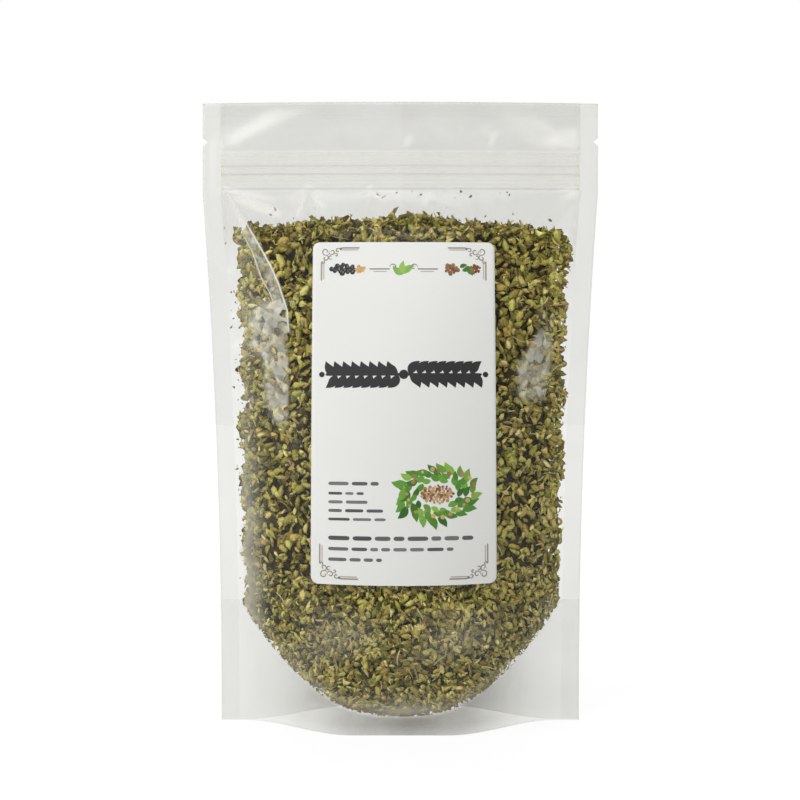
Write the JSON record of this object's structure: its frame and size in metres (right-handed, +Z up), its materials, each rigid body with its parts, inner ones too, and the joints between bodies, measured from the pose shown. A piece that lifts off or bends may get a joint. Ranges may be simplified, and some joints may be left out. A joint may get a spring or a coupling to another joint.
{
  "type": "filled stand-up pouch",
  "caption": "Clear plastic stand-up zip pouch filled with rubbed dried marjoram leaves, with a bottom gusset, tear notches and a paper label on the front.",
  "frame": {"origin": "the middle of the foot, on the surface that the pouch stands on", "axes": "+Z up, the label and front panel face -Y, +X to the right as seen from the front"},
  "size_m": [0.13, 0.0522, 0.2026],
  "materials": {
    "clear_film": "gloss",
    "zip_film": "gloss",
    "label_paper": "satin",
    "dried_leaf": "matte"
  },
  "bodies": {
    "root": {"front_film": "clear_film", "back_film": "clear_film", "bottom_gusset": "clear_film", "zip_strip_front": "zip_film", "zip_strip_back": "zip_film", "front_label": "label_paper", "marjoram_fill": "dried_leaf"}
  },
  "joints": []
}
